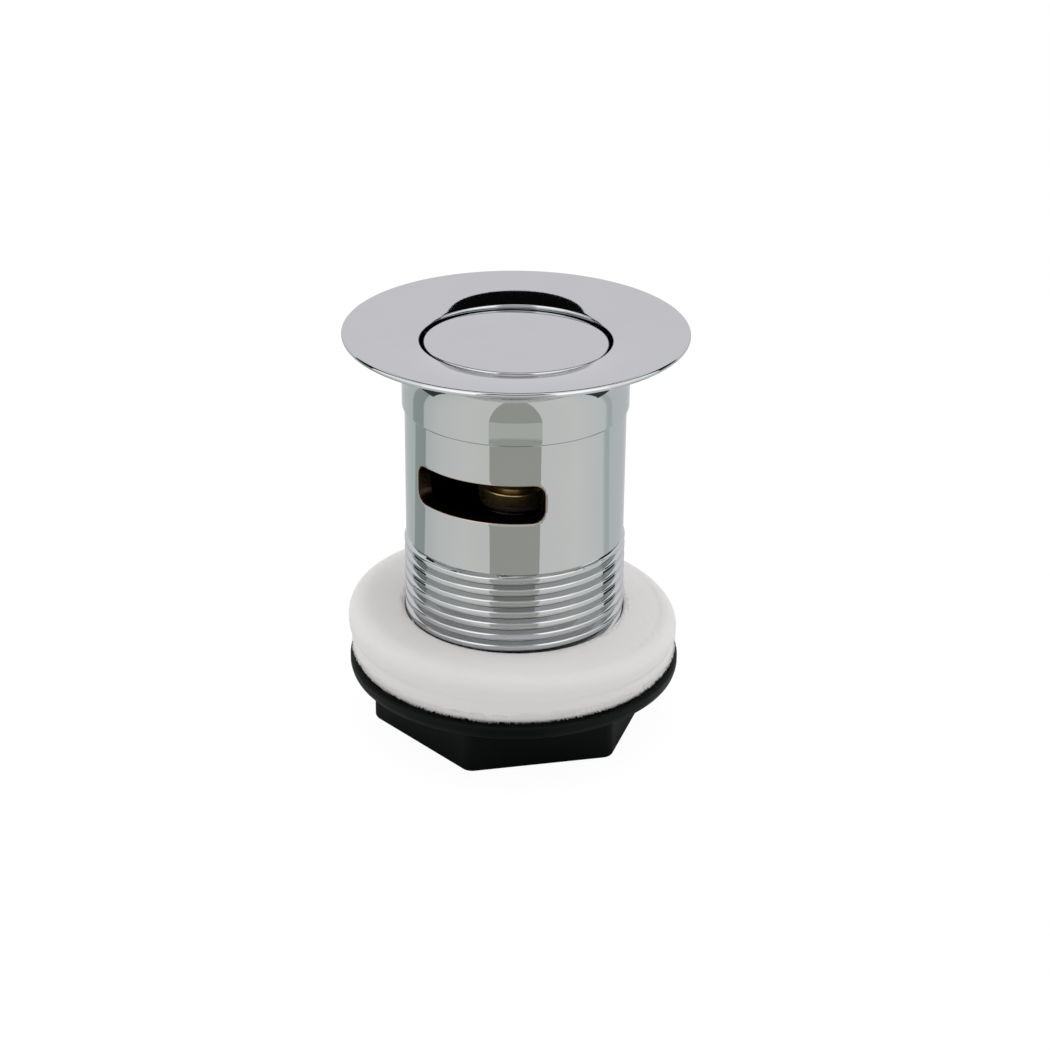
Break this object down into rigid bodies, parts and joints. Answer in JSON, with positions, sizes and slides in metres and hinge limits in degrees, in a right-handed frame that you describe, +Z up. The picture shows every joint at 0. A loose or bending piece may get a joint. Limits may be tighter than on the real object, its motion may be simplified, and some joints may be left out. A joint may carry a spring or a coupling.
{
  "type": "pop up basin waste",
  "caption": "Chrome basin waste with a dished flange, push latch plug, overflow slots in a threaded tube, soft foam washer and black hexagon backnut.",
  "frame": {"origin": "centre of the backnut's foot, where the part stands", "axes": "+Z up along the tube's axis towards the flange, overflow slots face -Y and +Y"},
  "size_m": [0.064, 0.064, 0.079],
  "materials": {
    "chrome": "polished chrome plate on brass",
    "chrome_cap": "polished chrome plate on brass",
    "grey_plastic": "moulded",
    "seal_rubber": "smooth",
    "dark_plastic": "moulded",
    "pale_plastic": "moulded",
    "spring_steel": "drawn",
    "amber_plastic": "moulded",
    "bare_brass": "turned",
    "dark_fibre": "pressed fibre",
    "white_foam": "closed cell foam",
    "black_plastic": "moulded, satin"
  },
  "bodies": {
    "body": {"waste_body": "chrome", "latch_post": "bare_brass", "post_washer": "dark_fibre", "stud_locknut": "bare_brass", "rotor_clip": "spring_steel", "return_spring": "spring_steel"},
    "plug": {"plug_cap": "chrome_cap", "seal_carrier": "grey_plastic", "plug_seal": "seal_rubber", "cam_sleeve": "dark_plastic", "upper_cam": "pale_plastic", "lower_cam": "pale_plastic", "sleeve_clip": "spring_steel"},
    "rotor": {"index_rotor": "amber_plastic"},
    "washer": {"foam_washer": "white_foam"},
    "nut": {"backnut": "black_plastic"}
  },
  "joints": [
    {"name": "plug_lift", "type": "slide", "parent": "body", "child": "plug", "axis": [0, 0, 1], "range_m": [0, 0.007], "deforming": ["return_spring"]},
    {"name": "rotor_index", "type": "hinge", "parent": "body", "child": "rotor", "pos_m": [0, 0, 0.06146], "axis": [0, 0, 1], "range_deg": [0, 45]},
    {"name": "washer_lift", "type": "slide", "parent": "body", "child": "washer", "axis": [0, 0, 1], "range_m": [-0.0093, 0.0255]},
    {"name": "nut_turn", "type": "hinge", "parent": "washer", "child": "nut", "pos_m": [0, 0, 0.0065], "axis": [0, 0, 1], "range_deg": [-1440, 3960]}
  ],
  "couplings": [
    {"joint": "rotor_index", "follows": "plug_lift", "rad_per_m": 112.2},
    {"joint": "washer_lift", "follows": "nut_turn", "m_per_rad": 0.00036749}
  ]
}
